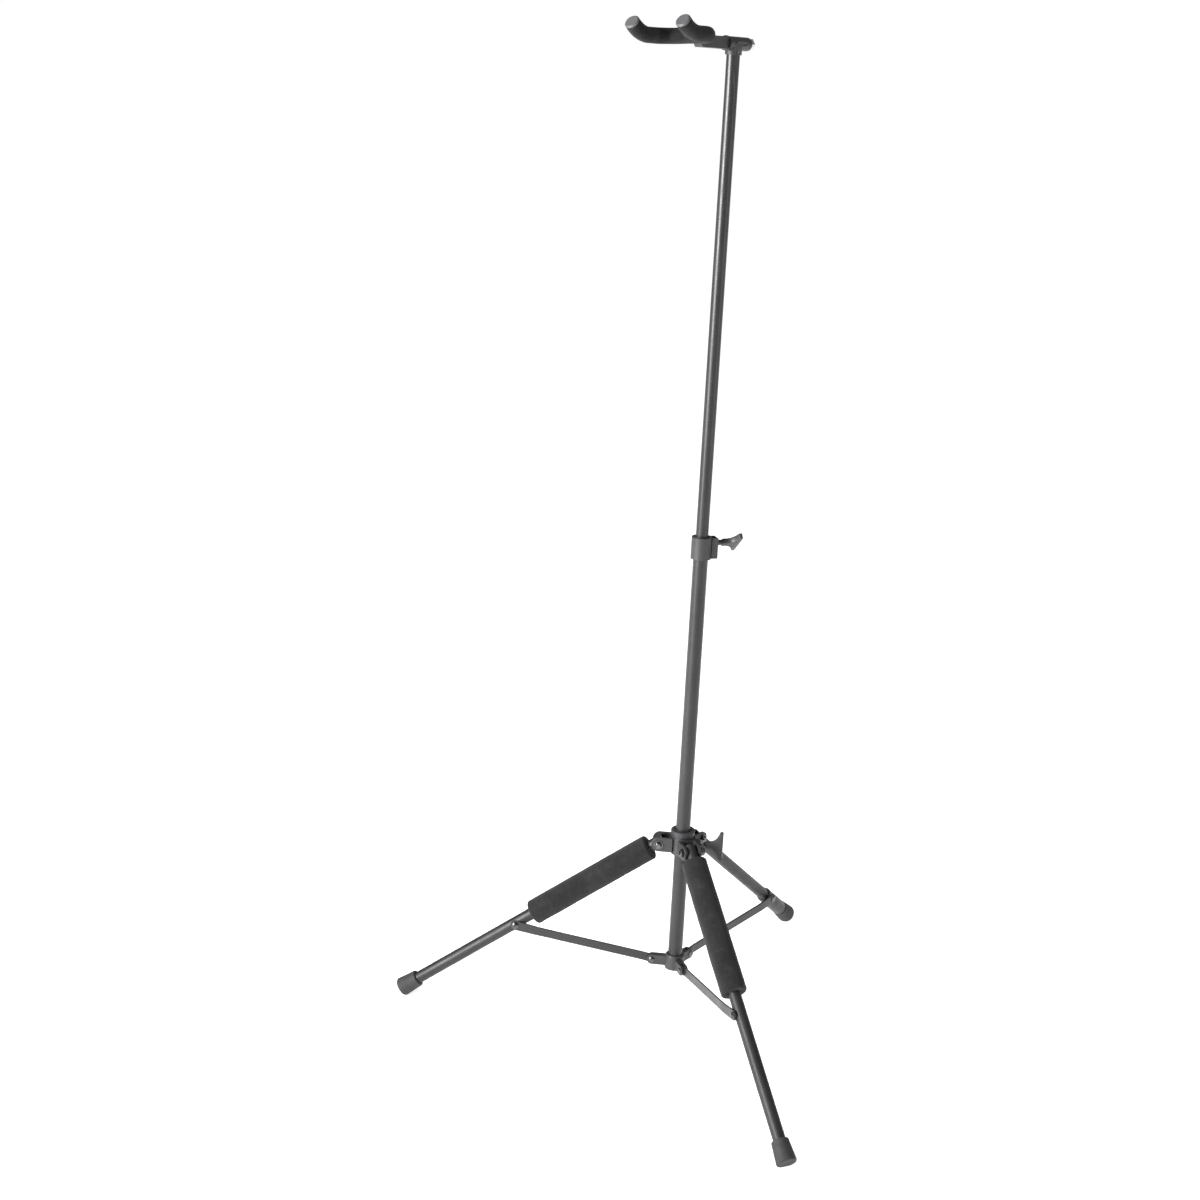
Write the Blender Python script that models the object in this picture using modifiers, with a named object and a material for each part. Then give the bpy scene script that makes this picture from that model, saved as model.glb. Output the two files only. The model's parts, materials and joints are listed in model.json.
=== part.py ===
"""Hanging guitar stand: a folding tripod, a telescopic mast and a padded neck yoke.

Metres, +Z up. The stand rests on z = 0 with its footprint centred on the origin,
and the yoke opens towards -Y. The mast leans back towards +Y, because the rear leg
is shorter than the two padded front legs. Everything on the mast is modelled in the
mast's own frame: its origin is on the tube's axis, level with the spider's rivets.
"""
from math import acos, atan2, cos, pi, radians, sin, sqrt

import bmesh
import bpy
from mathutils import Matrix, Vector

# Clearances and resolution
GAP = 0.0003
ROUND_STEPS = 24
SMALL_STEPS = 12

# Mast
MAST_LEAN = radians(5.7)
LOWER_TUBE_R = 0.0095
LOWER_TUBE_WALL = 0.0012
LOWER_TUBE_FOOT = -0.0058
LOWER_TUBE_TOP = 0.5695
UPPER_TUBE_R = 0.0080
UPPER_TUBE_WALL = 0.0012
UPPER_TUBE_FOOT = 0.4700
UPPER_TUBE_TOP = 1.1795
SWAGE_START = 1.1320
SWAGE_END = 1.1620
SWAGE_HALF = 0.0060
SWAGE_STRETCH = 1.05

# Tripod linkage, measured between pivot axes
PIVOT_RADIUS = 0.0303
HUB_HEIGHT = 0.1685
FRONT_LEG_ANGLE = radians(54.0)
FRONT_RIVET_REACH = 0.2282
REAR_RIVET_REACH = 0.2400
FRONT_LEG_LENGTH = 0.4175
LEG_BEARINGS = {"left": radians(211.9), "right": radians(328.1), "rear": radians(90.0)}
BRACE_SIDES = {"left": 1, "right": -1, "rear": -1}

# Legs and feet
LEG_TUBE_R = 0.0080
LEG_TUBE_WALL = 0.0012
LEG_TUBE_OVERRUN = 0.0080
FOOT_LENGTH = 0.0280
FOOT_FLOOR = 0.0042
FOOT_FLAT = 0.0015
FOOT_TOP_R = 0.0110
FOOT_RIM = ((0.0128, 0.0016), (0.0118, 0.0))
FOAM_R = 0.0169
FOAM_START = 0.0150
FOAM_END = 0.2000
REAR_COLLAR_R = 0.0103

# Hub and spider
HUB_SLEEVE_R = 0.0145
HUB_BORE_R = 0.0112
HUB_CHEEK_HALF = 0.0115
HUB_SLOT_HALF = 0.0084
HUB_LUG_R = 0.0095
SPIDER_R = 0.0130
SPIDER_BORE_R = 0.0098
SPIDER_CHEEK_HALF = 0.0046
SPIDER_SLOT_HALF = 0.00156
SPIDER_LUG_R = 0.0065
HUB_CLAMP_BEARING = radians(29.0)
HEIGHT_CLAMP_BEARING = radians(55.0)

# Braces
BRACE_THICKNESS = 0.0025
BRACE_EYE_R = 0.0055
BRACE_LUG_R = 0.0065
SLANT_START = 0.0140
SLANT_END = 0.0300
LUG_LENGTH = 0.0405

# Fasteners
BOLT_R = 0.0030
RIVET_R = 0.0022
NUT_FLATS = 0.0100
PIVOT_STUD_R = 0.0040
PIVOT_NUT_FLATS = 0.0130

# Height clamp
COLLAR_FOOT = 0.5569
COLLAR_TOP = 0.5850
COLLAR_R = 0.0130
EAR_REACH = 0.0195
EAR_HALF = 0.0080
HEIGHT_STUD_LEVEL = 0.5770
HUB_STUD_LEVEL = HUB_HEIGHT + 0.0015
HANDLE_LENGTH = 0.0225
SHOULDER_R = 0.0036
HEIGHT_HANDLE_ROLL = radians(141.0)
HUB_HANDLE_ROLL = radians(90.0)
HANDLE_HALF_SPAN = 0.0190

# Yoke head and yoke
SOCKET_FOOT = 1.1732
SOCKET_WALL = 0.0017
HEAD_PIN_LEVEL = 1.1762
HEAD_PIN_R = 0.0012
BARREL_LEVEL = 1.1862
BARREL_R = 0.0080
BARREL_FRONT = -0.0160
BARREL_REAR = 0.0270
YOKE_REST_ROLL = radians(-3.2)
BAR_HEIGHT = 0.0140
BAR_HALF_WIDTH = 0.0055
BAR_REAR = -0.0184
BAR_FRONT = -0.0735
ROD_R = 0.0040
ROD_BOSS_R = 0.0060
ROD_BACK = -0.0920
ROD_RISE = 0.0046
ARM_HALF_SPAN = 0.0355
ARM_CORNER_R = 0.0180
ARM_STRAIGHT = 0.0096
ARM_BEND_R = 0.0450
ARM_BEND = radians(41.0)
ARM_TIP = 0.0010
YOKE_FOAM_R = 0.0094
TIP_CAP_LENGTH = 0.0028

# Finishes: colour, roughness, metallic
FINISHES = {
    "black_paint": ((0.030, 0.030, 0.033), 0.30, 0.0),
    "grey_plastic": ((0.085, 0.087, 0.092), 0.50, 0.0),
    "black_plastic": ((0.020, 0.020, 0.021), 0.45, 0.0),
    "foam": ((0.028, 0.028, 0.030), 0.90, 0.0),
    "rubber": ((0.050, 0.051, 0.054), 0.75, 0.0),
    "chrome": ((0.75, 0.75, 0.77), 0.18, 1.0),
    "steel": ((0.45, 0.45, 0.46), 0.35, 1.0),
}

PARTS = bpy.data.collections.new("guitar_stand")
CUTTERS = bpy.data.collections.new("guitar_stand_cutters")


def clear_scene():
    for item in list(bpy.data.objects):
        bpy.data.objects.remove(item, do_unlink=True)


def finish_material(name):
    """One Principled material for each finish, made once and shared."""
    existing = bpy.data.materials.get(name)
    if existing:
        return existing
    colour, roughness, metallic = FINISHES[name]
    material = bpy.data.materials.new(name)
    material.use_nodes = True
    shader = material.node_tree.nodes["Principled BSDF"]
    shader.inputs["Base Color"].default_value = (*colour, 1.0)
    shader.inputs["Roughness"].default_value = roughness
    shader.inputs["Metallic"].default_value = metallic
    return material


def add_empty(name, parent, location=(0, 0, 0), rotation=(0, 0, 0)):
    """A frame that pieces hang from; a moving piece's frame lies on its joint axis."""
    empty = bpy.data.objects.new(name, None)
    empty.parent = parent
    empty.location = location
    empty.rotation_euler = rotation
    PARTS.objects.link(empty)
    return empty


def add_part(name, mesh, parent, finish, location=(0, 0, 0), rotation=(0, 0, 0)):
    part = bpy.data.objects.new(name, mesh)
    part.parent = parent
    part.location = location
    part.rotation_euler = rotation
    part.data.materials.append(finish_material(finish))
    PARTS.objects.link(part)
    return part


def add_tool(mesh, parent, location=(0, 0, 0), rotation=(0, 0, 0)):
    """A cutter or a shape to be joined: hidden, and not a part of its own."""
    tool = bpy.data.objects.new(mesh.name, mesh)
    tool.parent = parent
    tool.location = location
    tool.rotation_euler = rotation
    tool.hide_render = True
    tool.display_type = "WIRE"
    CUTTERS.objects.link(tool)
    return tool


def apply_tool(part, tool, operation):
    boolean = part.modifiers.new(operation.lower(), "BOOLEAN")
    boolean.operation = operation
    boolean.solver = "EXACT"
    boolean.object = tool


def cylinder_mesh(name, radius, length, segments=ROUND_STEPS):
    """A closed cylinder or prism about Z, centred on the origin."""
    mesh = bpy.data.meshes.new(name)
    shape = bmesh.new()
    size = {"radius1": radius, "radius2": radius, "depth": length}
    bmesh.ops.create_cone(shape, cap_ends=True, segments=segments, **size)
    shape.to_mesh(mesh)
    shape.free()
    return mesh


def box_mesh(name, low, high):
    """A closed box between two corners."""
    mesh = bpy.data.meshes.new(name)
    shape = bmesh.new()
    bmesh.ops.create_cube(shape, size=1.0)
    size = [b - a for a, b in zip(low, high)]
    centre = Vector([(a + b) / 2 for a, b in zip(low, high)])
    bmesh.ops.scale(shape, vec=size, verts=shape.verts)
    bmesh.ops.translate(shape, vec=centre, verts=shape.verts)
    shape.to_mesh(mesh)
    shape.free()
    return mesh


def turned(name, profile, parent, finish, closed=False, steps=ROUND_STEPS,
           location=(0, 0, 0), rotation=(0, 0, 0)):
    """A turned piece: radius and height pairs, running down the outer side, about local Z."""
    mesh = bpy.data.meshes.new(name)
    points = [(radius, 0.0, height) for radius, height in profile]
    edges = [(i, i + 1) for i in range(len(points) - 1)]
    if closed:
        edges.append((len(points) - 1, 0))
    mesh.from_pydata(points, edges, [])
    part = add_part(name, mesh, parent, finish, location, rotation)
    screw = part.modifiers.new("turn", "SCREW")
    screw.steps = steps
    screw.render_steps = steps
    screw.use_merge_vertices = True
    screw.merge_threshold = 0.00001
    return part


def ring(name, outer, inner, low, high, parent, finish, **place):
    profile = [(outer, high), (outer, low), (inner, low), (inner, high)]
    return turned(name, profile, parent, finish, closed=True, **place)


def flat_outline_mesh(name, outline, half_thickness):
    """A closed plate from an outline in local XY, extruded both ways along Z."""
    curve = bpy.data.curves.new(name, "CURVE")
    curve.dimensions = "2D"
    curve.fill_mode = "BOTH"
    curve.extrude = half_thickness
    spline = curve.splines.new("POLY")
    spline.points.add(len(outline) - 1)
    for point, (x, y) in zip(spline.points, outline):
        point.co = (x, y, 0.0, 1.0)
    spline.use_cyclic_u = True
    return curve_to_mesh(name, curve)


def swept_mesh(name, path, radius, sides_resolution=4):
    """A closed round bar along a list of points, with filled ends."""
    curve = bpy.data.curves.new(name, "CURVE")
    curve.dimensions = "3D"
    curve.bevel_depth = radius
    curve.bevel_resolution = sides_resolution
    curve.use_fill_caps = True
    spline = curve.splines.new("POLY")
    spline.points.add(len(path) - 1)
    for point, place in zip(spline.points, path):
        point.co = (*place, 1.0)
    return curve_to_mesh(name, curve)


def curve_to_mesh(name, curve):
    """The curve's own solid as a mesh with its loose caps welded on."""
    guide = bpy.data.objects.new(name + "_guide", curve)
    bpy.context.scene.collection.objects.link(guide)
    bpy.context.view_layer.update()
    evaluated = guide.evaluated_get(bpy.context.evaluated_depsgraph_get())
    mesh = bpy.data.meshes.new_from_object(evaluated)
    mesh.name = name
    bpy.data.objects.remove(guide, do_unlink=True)
    shape = bmesh.new()
    shape.from_mesh(mesh)
    bmesh.ops.remove_doubles(shape, verts=shape.verts, dist=0.00001)
    bmesh.ops.recalc_face_normals(shape, faces=shape.faces)
    shape.to_mesh(mesh)
    shape.free()
    mesh.materials.clear()
    return mesh


def smooth_rounds(angle=radians(35.0)):
    """Shade the curved faces smooth and keep the real edges sharp."""
    for part in PARTS.objects:
        if part.type == "MESH":
            part.data.shade_smooth()
            if part.data.polygons:
                part.data.set_sharp_from_angle(angle=angle)


def arc(centre, radius, start, end, count):
    """Points on an arc in a plane, start and end angles included."""
    angles = [start + (end - start) * i / count for i in range(count + 1)]
    return [(centre[0] + radius * cos(a), centre[1] + radius * sin(a)) for a in angles]


# --- linkage geometry -------------------------------------------------------------

TILT = Matrix.Rotation(-MAST_LEAN, 3, "X")


def radial(bearing):
    return Vector((cos(bearing), sin(bearing), 0.0))


def leg_direction(bearing, angle):
    """From the hub pivot to the foot, in the mast's frame."""
    return radial(bearing) * sin(angle) - Vector((0, 0, cos(angle)))


def brace_length():
    """Between the spider rivet and the leg rivet, the same on all three braces."""
    run = FRONT_RIVET_REACH * sin(FRONT_LEG_ANGLE)
    rise = HUB_HEIGHT - FRONT_RIVET_REACH * cos(FRONT_LEG_ANGLE)
    return sqrt(run * run + rise * rise)


def rear_leg_angle():
    """The angle from the mast that closes the rear leg's triangle."""
    reach = REAR_RIVET_REACH
    height = HUB_HEIGHT
    return acos((reach ** 2 + height ** 2 - brace_length() ** 2) / (2 * reach * height))


LEG_ANGLES = {"left": FRONT_LEG_ANGLE, "right": FRONT_LEG_ANGLE, "rear": rear_leg_angle()}
RIVET_REACHES = {"left": FRONT_RIVET_REACH, "right": FRONT_RIVET_REACH, "rear": REAR_RIVET_REACH}


def brace_rise(side):
    """The brace's angle above the plane square to the mast."""
    reach = RIVET_REACHES[side]
    angle = LEG_ANGLES[side]
    return atan2(HUB_HEIGHT - reach * cos(angle), reach * sin(angle))


def foot_extent(direction, axis):
    """How far the foot's rim reaches past the centre of its end along a world axis."""
    along = direction[axis]
    across = sqrt(1.0 - along * along)
    return max(rim_radius * across - abs(along) * rim_height for rim_radius, rim_height in FOOT_RIM)


def foot_end(side, length):
    """World offset of a foot's end from the mast frame's origin, and the leg's direction."""
    bearing = LEG_BEARINGS[side]
    direction = TILT @ leg_direction(bearing, LEG_ANGLES[side])
    pivot = TILT @ (radial(bearing) * PIVOT_RADIUS + Vector((0, 0, HUB_HEIGHT)))
    return pivot + direction * length, direction


def mast_base_height():
    """Height of the mast frame's origin that puts the front feet on the floor."""
    end, direction = foot_end("left", FRONT_LEG_LENGTH)
    return foot_extent(direction, 2) - end.z - FOOT_FLAT


def rear_leg_length():
    """The length that puts the rear foot on the floor too."""
    pivot, direction = foot_end("rear", 0.0)
    return (foot_extent(direction, 2) - FOOT_FLAT - mast_base_height() - pivot.z) / direction.z


LEG_LENGTHS = {"left": FRONT_LEG_LENGTH, "right": FRONT_LEG_LENGTH, "rear": rear_leg_length()}


def mast_base_offset():
    """Y of the mast frame's origin that centres the footprint on the world origin."""
    front, front_direction = foot_end("left", LEG_LENGTHS["left"])
    rear, rear_direction = foot_end("rear", LEG_LENGTHS["rear"])
    low = front.y - foot_extent(front_direction, 1)
    high = rear.y + foot_extent(rear_direction, 1)
    return -(low + high) / 2


# --- mast -------------------------------------------------------------------------

def tube_section(radius, half, stretch):
    """Round section squeezed flat at its two sides, across local X."""
    points = []
    for i in range(ROUND_STEPS):
        angle = 2 * pi * i / ROUND_STEPS
        points.append((max(-half, min(half, radius * cos(angle))), radius * stretch * sin(angle)))
    return points


def swaged_tube_mesh(name, radius, wall):
    """Round tube whose top end is squeezed flat where it enters the head."""
    levels = [(UPPER_TUBE_FOOT, radius, 1.0), (SWAGE_START, radius, 1.0),
              (SWAGE_END, SWAGE_HALF, SWAGE_STRETCH), (UPPER_TUBE_TOP, SWAGE_HALF, SWAGE_STRETCH)]
    shape = bmesh.new()
    rings = []
    for inset, order in ((0.0, levels), (wall, levels[::-1])):
        for height, half, stretch in order:
            section = tube_section(radius - inset, half - inset, stretch)
            rings.append([shape.verts.new((x, y, height)) for x, y in section])
    rings.append(rings[0])
    for lower, higher in zip(rings, rings[1:]):
        for i in range(ROUND_STEPS):
            j = (i + 1) % ROUND_STEPS
            shape.faces.new((lower[i], lower[j], higher[j], higher[i]))
    bmesh.ops.recalc_face_normals(shape, faces=shape.faces)
    mesh = bpy.data.meshes.new(name)
    shape.to_mesh(mesh)
    shape.free()
    return mesh


def build_tubes(mast, upper):
    lower_inner = LOWER_TUBE_R - LOWER_TUBE_WALL
    upper_inner = UPPER_TUBE_R - UPPER_TUBE_WALL
    ring("lower_tube", LOWER_TUBE_R, lower_inner, LOWER_TUBE_FOOT, LOWER_TUBE_TOP, mast, "black_paint")
    shape = swaged_tube_mesh("upper_tube", UPPER_TUBE_R, UPPER_TUBE_WALL)
    tube = add_part("upper_tube", shape, upper, "black_paint")
    pin_hole = cylinder_mesh("upper_tube_pin_hole", HEAD_PIN_R + GAP, 0.05, SMALL_STEPS)
    apply_tool(tube, add_tool(pin_hole, upper, (0, 0, HEAD_PIN_LEVEL), (0, pi / 2, 0)), "DIFFERENCE")
    foot = UPPER_TUBE_FOOT - GAP
    spigot = upper_inner - GAP
    glide = [(0, foot + 0.012), (spigot, foot + 0.012), (spigot, foot), (UPPER_TUBE_R, foot),
             (UPPER_TUBE_R, foot - 0.010), (UPPER_TUBE_R - 0.001, foot - 0.012), (0, foot - 0.012)]
    turned("upper_tube_glide", glide, upper, "black_plastic")


def build_end_plug(mast):
    """Plug in the foot of the lower tube, and the screw that holds the spider to it."""
    radius = LOWER_TUBE_R - LOWER_TUBE_WALL - GAP
    ring("tube_end_plug", radius, RIVET_R + 0.0004, LOWER_TUBE_FOOT, 0.0100, mast, "black_plastic")
    seat = -0.0095 - GAP
    screw = [(0, 0.0080), (RIVET_R, 0.0070), (RIVET_R, seat), (0.0042, seat),
             (0.0042, seat - 0.0012), (0.0028, seat - 0.0023), (0, seat - 0.0023)]
    turned("spider_screw", screw, mast, "steel", steps=SMALL_STEPS)


def lug_mesh(name, start, radius, half_width):
    """Upright lug from near the mast's axis out to a round end about the pivot."""
    end = arc((PIVOT_RADIUS, 0.0), radius, -pi / 2, pi / 2, 10)
    return flat_outline_mesh(name, [(start, -radius)] + end + [(start, radius)], half_width)


def build_spider(mast):
    """Moulded spider at the mast's foot: a cup with three forked lugs."""
    floor = LOWER_TUBE_FOOT - GAP
    hole = RIVET_R + 0.0004
    cup = [(SPIDER_R, 0.0085), (SPIDER_R, -0.0095), (hole, -0.0095), (hole, floor), (SPIDER_BORE_R, floor),
           (SPIDER_BORE_R, 0.0105), (SPIDER_R - 0.0015, 0.0105)]
    spider = turned("spider", cup, mast, "grey_plastic", closed=True)
    for side, bearing in LEG_BEARINGS.items():
        centre = radial(bearing) * PIVOT_RADIUS
        upright = (pi / 2, 0, bearing)
        lug = lug_mesh("spider_lug_" + side, 0.0114, SPIDER_LUG_R, SPIDER_CHEEK_HALF)
        apply_tool(spider, add_tool(lug, mast, rotation=upright), "UNION")
        corner = (0.05, SPIDER_SLOT_HALF, 0.02)
        slot = box_mesh("spider_slot_" + side, (0.0237, -SPIDER_SLOT_HALF, -0.02), corner)
        apply_tool(spider, add_tool(slot, mast, rotation=(0, 0, bearing)), "DIFFERENCE")
        eye = cylinder_mesh("spider_eye_" + side, RIVET_R + GAP, 0.03, SMALL_STEPS)
        apply_tool(spider, add_tool(eye, mast, centre, upright), "DIFFERENCE")


def build_spider_rivet(side, hinge):
    """Domed at both ends, through the lug's two cheeks and the brace's eye."""
    seat = SPIDER_CHEEK_HALF + GAP
    dome = seat + 0.0017
    rivet = [(0, dome), (0.0026, dome - 0.0003), (0.0041, seat + 0.0004), (0.0041, seat), (RIVET_R, seat),
             (RIVET_R, -seat), (0.0041, -seat), (0.0041, -seat - 0.0004),
             (0.0026, 0.0003 - dome), (0, -dome)]
    turned(side + "_spider_rivet", rivet, hinge, "chrome", steps=SMALL_STEPS, rotation=(pi / 2, 0, 0))


# --- height clamp -----------------------------------------------------------------

def build_height_collar(mast):
    """Clamp collar on top of the lower tube, with an ear that holds a captive nut."""
    bore = SPIDER_BORE_R
    collar = ring("height_clamp_collar", COLLAR_R, bore, COLLAR_FOOT, COLLAR_TOP, mast, "grey_plastic")
    facing = (0, 0, HEIGHT_CLAMP_BEARING)
    low = COLLAR_FOOT + 0.0010
    high = HEIGHT_STUD_LEVEL + 0.0070
    ear = box_mesh("height_clamp_ear", (0.0112, -EAR_HALF, low), (EAR_REACH, EAR_HALF, high))
    apply_tool(collar, add_tool(ear, mast, rotation=facing), "UNION")
    half = NUT_FLATS / 2 + GAP
    floor = HEIGHT_STUD_LEVEL - NUT_FLATS / sqrt(3.0) - GAP
    pocket = box_mesh("height_clamp_pocket", (0.0134, -half, floor), (0.0180, half, high + 0.01))
    apply_tool(collar, add_tool(pocket, mast, rotation=facing), "DIFFERENCE")
    hole = cylinder_mesh("height_clamp_hole", BOLT_R + GAP, 0.02)
    middle = radial(HEIGHT_CLAMP_BEARING) * 0.0160 + Vector((0, 0, HEIGHT_STUD_LEVEL))
    turn = (0, pi / 2, HEIGHT_CLAMP_BEARING)
    apply_tool(collar, add_tool(hole, mast, middle, turn), "DIFFERENCE")
    build_clamp_liner(mast)
    nut_frame = add_empty("height_clamp_nut_frame", mast, (0, 0, HEIGHT_STUD_LEVEL), turn)
    build_nut("height_clamp_nut", nut_frame, 0.0137, 0.0177, "steel")


def build_clamp_liner(mast):
    """Split plastic bush that the clamp screw squeezes onto the upper tube."""
    low = LOWER_TUBE_TOP + GAP
    high = COLLAR_TOP + 0.0012
    outer = SPIDER_BORE_R - GAP
    liner = ring("height_clamp_liner", outer, UPPER_TUBE_R + GAP, low, high, mast, "black_plastic")
    slit = box_mesh("height_liner_slit", (-0.02, -0.0008, low - 0.01), (0.0, 0.0008, high + 0.01))
    apply_tool(liner, add_tool(slit, mast, rotation=(0, 0, HEIGHT_CLAMP_BEARING)), "DIFFERENCE")


def build_nut(name, frame, low, high, finish, flats=NUT_FLATS, bolt=BOLT_R):
    """A hexagonal nut about the frame's Z, clear of the bolt through it."""
    length = high - low
    middle = (0, 0, (low + high) / 2)
    mesh = cylinder_mesh(name, flats / sqrt(3.0), length, 6)
    nut = add_part(name, mesh, frame, finish, middle, (0, 0, pi / 6))
    hole = cylinder_mesh(name + "_hole", bolt + GAP, 3 * length, SMALL_STEPS)
    apply_tool(nut, add_tool(hole, frame, middle), "DIFFERENCE")


def handle_outline():
    """Half a T-handle widens along a smooth curve from its stem to its bar."""
    stem = 0.0042
    bar_start = HANDLE_LENGTH - 0.0042
    flare = []
    for i in range(11):
        x = bar_start * i / 10
        flare.append((x, stem + (HANDLE_HALF_SPAN - stem) * (i / 10) ** 3.6))
    side = flare + [(HANDLE_LENGTH - 0.0010, HANDLE_HALF_SPAN), (HANDLE_LENGTH, HANDLE_HALF_SPAN - 0.0012)]
    return side + [(x, -y) for x, y in reversed(side)]


def build_clamp_screw(name, place, tip, shoulder, handle_start, roll):
    """A stud and its T-handle, turning about a radial axis; the bar lies at the roll angle."""
    mast, level, bearing = place
    frame = add_empty(name + "_frame", mast, (0, 0, level), (0, pi / 2, bearing))
    end = handle_start + 0.0090
    neck = handle_start - GAP
    stud = [(0, end), (BOLT_R - 0.0004, end), (BOLT_R, end - 0.0006), (BOLT_R, neck),
            (SHOULDER_R, neck), (SHOULDER_R, shoulder), (BOLT_R, shoulder),
            (BOLT_R, tip + 0.0008), (BOLT_R - 0.0008, tip), (0, tip)]
    turned(name + "_stud", stud, frame, "black_paint", steps=SMALL_STEPS)
    grip = add_empty(name + "_grip", frame, (0, 0, handle_start), (0, -pi / 2, roll))
    mesh = flat_outline_mesh(name + "_handle", handle_outline(), 0.0034)
    handle = add_part(name + "_handle", mesh, grip, "grey_plastic")
    bevel = handle.modifiers.new("soft_edges", "BEVEL")
    bevel.width = 0.0011
    bevel.segments = 2
    bevel.limit_method = "ANGLE"
    socket = cylinder_mesh(name + "_socket", BOLT_R + GAP, 0.0186, SMALL_STEPS)
    apply_tool(handle, add_tool(socket, grip, rotation=(0, pi / 2, 0)), "DIFFERENCE")


# --- tripod -----------------------------------------------------------------------

def build_hub(hub):
    """Moulded sliding hub: a sleeve, three pairs of cheeks and a boss for the clamp screw."""
    sleeve = [(0.0150, 0.0200), (0.0158, 0.0192), (0.0158, 0.0130), (HUB_SLEEVE_R, 0.0112),
              (HUB_SLEEVE_R, -0.0130), (HUB_BORE_R, -0.0130), (HUB_BORE_R, 0.0200)]
    body = turned("tripod_hub", sleeve, hub, "grey_plastic", closed=True)
    for side, bearing in LEG_BEARINGS.items():
        centre = radial(bearing) * PIVOT_RADIUS
        upright = (pi / 2, 0, bearing)
        lug = lug_mesh("hub_lug_" + side, 0.0122, HUB_LUG_R, HUB_CHEEK_HALF)
        apply_tool(body, add_tool(lug, hub, rotation=upright), "UNION")
        slot = box_mesh("hub_slot_" + side, (0.0166, -HUB_SLOT_HALF, -0.03), (0.06, HUB_SLOT_HALF, 0.03))
        apply_tool(body, add_tool(slot, hub, rotation=(0, 0, bearing)), "DIFFERENCE")
        eye = cylinder_mesh("hub_eye_" + side, BOLT_R + GAP, 0.05, SMALL_STEPS)
        apply_tool(body, add_tool(eye, hub, centre, upright), "DIFFERENCE")
    level = HUB_STUD_LEVEL - HUB_HEIGHT
    boss = cylinder_mesh("hub_boss", 0.0066, 0.0120)
    middle = radial(HUB_CLAMP_BEARING) * 0.0180 + Vector((0, 0, level))
    facing = (0, pi / 2, HUB_CLAMP_BEARING)
    apply_tool(body, add_tool(boss, hub, middle, facing), "UNION")
    hole = cylinder_mesh("hub_boss_hole", BOLT_R + GAP, 0.0180, SMALL_STEPS)
    apply_tool(body, add_tool(hole, hub, middle, facing), "DIFFERENCE")
    ring("hub_liner", HUB_BORE_R - GAP, LOWER_TUBE_R + GAP, -0.0120, 0.0212, hub, "black_plastic")
    nut_frame = add_empty("hub_clamp_nut_frame", hub, (0, 0, level), facing)
    build_nut("hub_clamp_nut", nut_frame, 0.0243, 0.0283, "steel")


def build_leg_bolt(side, hinge, hardware):
    """Leg pivot: bolt, two washers and a nut. The head is on the brace's side of the leg."""
    turn = (-pi / 2 * BRACE_SIDES[side], 0, 0)
    washer_low = HUB_CHEEK_HALF + GAP
    washer_high = washer_low + 0.0010
    seat = washer_high + GAP
    bolt = [(0, seat + 0.0034), (0.0026, seat + 0.0032), (0.0044, seat + 0.0018), (0.0048, seat + 0.0004),
            (0.0048, seat), (BOLT_R, seat), (BOLT_R, -seat - 0.0062), (BOLT_R - 0.0006, -seat - 0.0068),
            (0, -seat - 0.0068)]
    turned(side + "_leg_bolt", bolt, hinge, "chrome", steps=SMALL_STEPS, rotation=turn)
    for place, sign in (("head", 1), ("nut", -1)):
        low, high = sorted((sign * washer_low, sign * washer_high))
        name = side + "_leg_" + place + "_washer"
        ring(name, 0.0062, BOLT_R + GAP, low, high, hardware, "chrome", steps=SMALL_STEPS, rotation=turn)
    nut_frame = add_empty(side + "_leg_nut_frame", hardware, rotation=turn)
    build_nut(side + "_leg_nut", nut_frame, -seat - 0.0050, -seat, "chrome")


def build_leg_tube(side, hinge):
    """Leg tube, running down local -Z from just above its pivot."""
    foot = FOOT_FLOOR + GAP - LEG_LENGTHS[side]
    tube = ring(side + "_leg_tube", LEG_TUBE_R, LEG_TUBE_R - LEG_TUBE_WALL, foot, LEG_TUBE_OVERRUN,
                hinge, "black_paint")
    eye = cylinder_mesh(side + "_leg_eye", BOLT_R + GAP, 0.03, SMALL_STEPS)
    apply_tool(tube, add_tool(eye, hinge, rotation=(pi / 2, 0, 0)), "DIFFERENCE")


def build_foot(side, hinge):
    """Rubber cap with a crisp upper rim, widening a little to a worn flat on the floor."""
    end = -LEG_LENGTHS[side]
    top = end + FOOT_LENGTH
    bore = LEG_TUBE_R + GAP
    cap = [(0, end + FOOT_FLOOR), (bore, end + FOOT_FLOOR), (bore, top),
           (FOOT_TOP_R - 0.0010, top), (FOOT_TOP_R, top - 0.0010)]
    cap += [(radius, end + height) for radius, height in FOOT_RIM]
    cap.append((0, end))
    foot = turned(side + "_foot", cap, hinge, "rubber")
    floor = box_mesh(side + "_foot_floor", (-0.6, -0.6, -0.02), (0.6, 0.6, 0.0))
    apply_tool(foot, add_tool(floor, None), "DIFFERENCE")


def build_leg_foam(side, hinge):
    """Foam sleeve that the guitar's body leans on."""
    outer = FOAM_R
    bore = LEG_TUBE_R + GAP
    low = -FOAM_END
    high = -FOAM_START
    sleeve = [(outer - 0.0025, high), (outer, high - 0.0025), (outer, low + 0.0025), (outer - 0.0025, low),
              (bore, low), (bore, high)]
    turned(side + "_leg_foam", sleeve, hinge, "foam", closed=True)


def build_rear_collar(hinge):
    """Plastic sleeve on the bare rear leg, between the brace and the foot."""
    high = 0.0075 - REAR_RIVET_REACH
    low = FOOT_LENGTH + GAP - LEG_LENGTHS["rear"]
    collar = [(REAR_COLLAR_R - 0.0007, high), (REAR_COLLAR_R, high - 0.0007), (REAR_COLLAR_R, low + 0.0005),
              (REAR_COLLAR_R - 0.0005, low), (LEG_TUBE_R + GAP, low), (LEG_TUBE_R + GAP, high)]
    turned("rear_leg_collar", collar, hinge, "grey_plastic", closed=True)


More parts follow.
